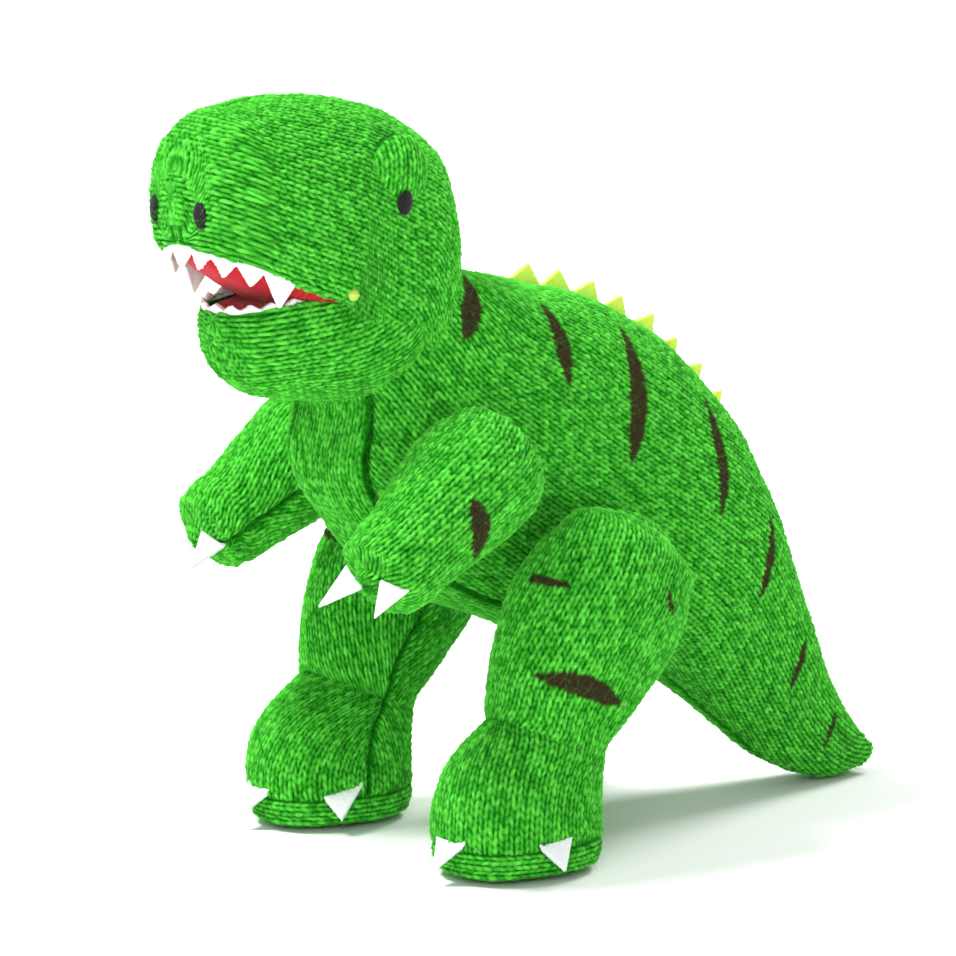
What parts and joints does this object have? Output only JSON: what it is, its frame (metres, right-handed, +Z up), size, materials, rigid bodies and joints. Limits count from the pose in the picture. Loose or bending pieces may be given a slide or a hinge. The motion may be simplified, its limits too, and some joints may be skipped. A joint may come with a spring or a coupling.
{
  "type": "stuffed toy dinosaur",
  "caption": "Standing knitted plush tyrannosaur with felt teeth, claws and back spikes, a sewn jaw, and a head, arms, legs and tail that flex at their seams.",
  "frame": {"origin": "on the floor, centred under the toy's bounding box", "axes": "+Z up, the dinosaur faces -Y and its left side is +X"},
  "size_m": [0.1364, 0.2422, 0.2081],
  "materials": {
    "knit_green": "matt",
    "stuffing_fibre": "matt",
    "felt_white": "matt",
    "felt_red": "matt",
    "felt_lime": "matt",
    "thread_black": "satin",
    "thread_lime": "matt"
  },
  "bodies": {
    "torso": {"torso_skin_left": "knit_green", "torso_skin_right": "knit_green", "chest_gusset": "knit_green", "torso_stuffing": "stuffing_fibre", "spike_strip": "felt_lime"},
    "head": {"head_skin": "knit_green", "head_stuffing": "stuffing_fibre", "mouth_lining_upper": "felt_red", "upper_teeth": "felt_white", "eye_patch_left": "knit_green", "eye_patch_right": "knit_green", "eye_left": "thread_black", "eye_right": "thread_black", "nostril_left": "thread_black", "nostril_right": "thread_black", "mouth_knot_left": "thread_lime", "mouth_knot_right": "thread_lime"},
    "jaw": {"jaw_skin": "knit_green", "jaw_stuffing": "stuffing_fibre", "mouth_lining_lower": "felt_red", "lower_teeth": "felt_white"},
    "tail": {"tail_skin": "knit_green", "tail_stuffing": "stuffing_fibre"},
    "arm_left": {"arm_skin_left": "knit_green", "arm_stuffing_left": "stuffing_fibre", "hand_claw_left_inner": "felt_white", "hand_claw_left_outer": "felt_white"},
    "arm_right": {"arm_skin_right": "knit_green", "arm_stuffing_right": "stuffing_fibre", "hand_claw_right_inner": "felt_white", "hand_claw_right_outer": "felt_white"},
    "leg_left": {"leg_skin_left": "knit_green", "leg_stuffing_left": "stuffing_fibre", "foot_skin_left": "knit_green", "sole_left": "knit_green", "foot_stuffing_left": "stuffing_fibre", "foot_claw_left_inner": "felt_white", "foot_claw_left_front": "felt_white", "foot_claw_left_outer": "felt_white"},
    "leg_right": {"leg_skin_right": "knit_green", "leg_stuffing_right": "stuffing_fibre", "foot_skin_right": "knit_green", "sole_right": "knit_green", "foot_stuffing_right": "stuffing_fibre", "foot_claw_right_inner": "felt_white", "foot_claw_right_front": "felt_white", "foot_claw_right_outer": "felt_white"}
  },
  "joints": [
    {"name": "neck_nod", "type": "hinge", "parent": "torso", "child": "head", "pos_m": [0, -0.0505, 0.1415], "axis": [1, 0, 0], "range_deg": [-8, 8], "stiffness_Nm_per_rad": 0.5},
    {"name": "jaw_open", "type": "hinge", "parent": "head", "child": "jaw", "pos_m": [0, -0.081, 0.143], "axis": [1, 0, 0], "range_deg": [-12, 8], "stiffness_Nm_per_rad": 0.05},
    {"name": "tail_swing", "type": "hinge", "parent": "torso", "child": "tail", "pos_m": [0, 0.068, 0.049], "axis": [0, 0.7071, 0.7071], "range_deg": [-14, 14], "stiffness_Nm_per_rad": 0.3},
    {"name": "shoulder_left", "type": "hinge", "parent": "torso", "child": "arm_left", "pos_m": [0.031, -0.05, 0.109], "axis": [1, 0, 0], "range_deg": [-25, 20], "stiffness_Nm_per_rad": 0.05},
    {"name": "shoulder_right", "type": "hinge", "parent": "torso", "child": "arm_right", "pos_m": [-0.031, -0.0445, 0.109], "axis": [1, 0, 0], "range_deg": [-25, 20], "stiffness_Nm_per_rad": 0.05},
    {"name": "hip_left", "type": "hinge", "parent": "torso", "child": "leg_left", "pos_m": [0.031, -0.0145, 0.07], "axis": [1, 0, 0], "range_deg": [-15, 15], "stiffness_Nm_per_rad": 0.6},
    {"name": "hip_right", "type": "hinge", "parent": "torso", "child": "leg_right", "pos_m": [-0.031, -0.0145, 0.07], "axis": [1, 0, 0], "range_deg": [-15, 15], "stiffness_Nm_per_rad": 0.6}
  ]
}
